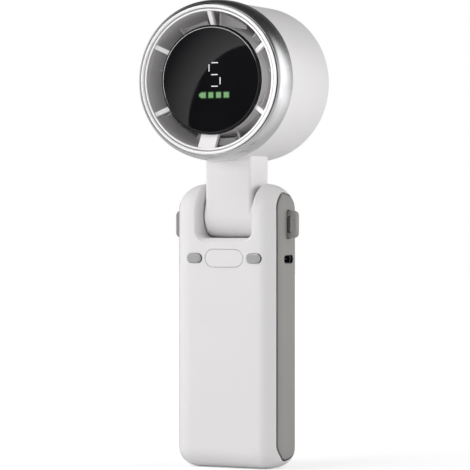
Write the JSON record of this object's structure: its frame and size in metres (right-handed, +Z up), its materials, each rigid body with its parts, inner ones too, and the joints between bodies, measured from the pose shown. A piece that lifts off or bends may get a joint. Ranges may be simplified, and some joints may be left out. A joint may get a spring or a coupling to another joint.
{
  "type": "folding handheld fan",
  "caption": "Pocket fan with a round ducted head on a neck that folds forward in a flat battery handle, with buttons, strap loops and a charging socket.",
  "frame": {"origin": "middle of the handle's flat foot, which the fan stands on", "axes": "+Z up the handle to the head, the fan blows towards -Y, +X is the side with the charging socket, on the right when the fan is seen from the front"},
  "size_m": [0.0648, 0.0522, 0.1891],
  "materials": {
    "white_plastic": "fine satin moulded plastic",
    "grey_strip": "fine matte warm grey",
    "grey_rubber": "matte moulded rubber",
    "satin_silver": "plated plastic, satin with a polished rim",
    "black_lens": "polished black",
    "duct_grey": "matte grey",
    "steel": "turned and pressed steel",
    "sintered_bronze": "matte sintered bronze",
    "board_green": "green solder mask",
    "dark_plastic": "matte black",
    "dark_magnet": "dark bonded magnet",
    "cell_sleeve": "shrink sleeve",
    "wound_copper": "wound copper on a steel core"
  },
  "bodies": {
    "handle": {"handle_front_shell": "white_plastic", "handle_rear_shell": "white_plastic", "side_strip_left": "grey_strip", "side_strip_right": "grey_strip", "strap_loop_left": "grey_strip", "strap_loop_right": "grey_strip", "battery_cell_left": "cell_sleeve", "battery_cell_right": "cell_sleeve", "battery_holder": "dark_plastic", "control_board": "board_green", "charge_board": "board_green", "usb_c_port": "steel", "power_switch": "dark_plastic", "speed_down_switch": "dark_plastic", "speed_up_switch": "dark_plastic", "friction_sleeve_left": "sintered_bronze", "friction_sleeve_right": "sintered_bronze", "case_screw_left": "steel", "case_screw_right": "steel"},
    "power_key": {"power_button": "white_plastic"},
    "speed_down_key": {"speed_down_button": "grey_rubber"},
    "speed_up_key": {"speed_up_button": "grey_rubber"},
    "head": {"head_housing": "white_plastic", "neck_rear_cover": "white_plastic", "neck_screw_left": "steel", "neck_screw_right": "steel", "front_bezel": "satin_silver", "front_grille": "white_plastic", "display_lens": "black_lens", "display_board": "board_green", "guide_vane_ring": "duct_grey", "motor_driver_board": "board_green", "motor_stator": "wound_copper", "shaft_bearing_front": "steel", "shaft_bearing_rear": "steel", "rear_grille": "white_plastic", "hinge_pin": "steel"},
    "rotor": {"impeller": "duct_grey", "rotor_bell": "steel", "magnet_ring": "dark_magnet", "motor_shaft": "steel"}
  },
  "joints": [
    {"name": "head_fold", "type": "hinge", "parent": "handle", "child": "head", "pos_m": [0, 0, 0.1026], "axis": [1, 0, 0], "range_deg": [0, 90]},
    {"name": "fan_spin", "type": "hinge", "parent": "head", "child": "rotor", "pos_m": [0, 0, 0.1567], "axis": [0, 1, 0], "continuous": true},
    {"name": "power_press", "type": "slide", "parent": "handle", "child": "power_key", "axis": [0, 1, 0], "range_m": [0, 0.0006], "stiffness_N_per_m": 900, "springref_m": -0.0006},
    {"name": "speed_down_press", "type": "slide", "parent": "handle", "child": "speed_down_key", "axis": [0, 1, 0], "range_m": [0, 0.0005], "stiffness_N_per_m": 900, "springref_m": -0.0006},
    {"name": "speed_up_press", "type": "slide", "parent": "handle", "child": "speed_up_key", "axis": [0, 1, 0], "range_m": [0, 0.0005], "stiffness_N_per_m": 900, "springref_m": -0.0006}
  ]
}
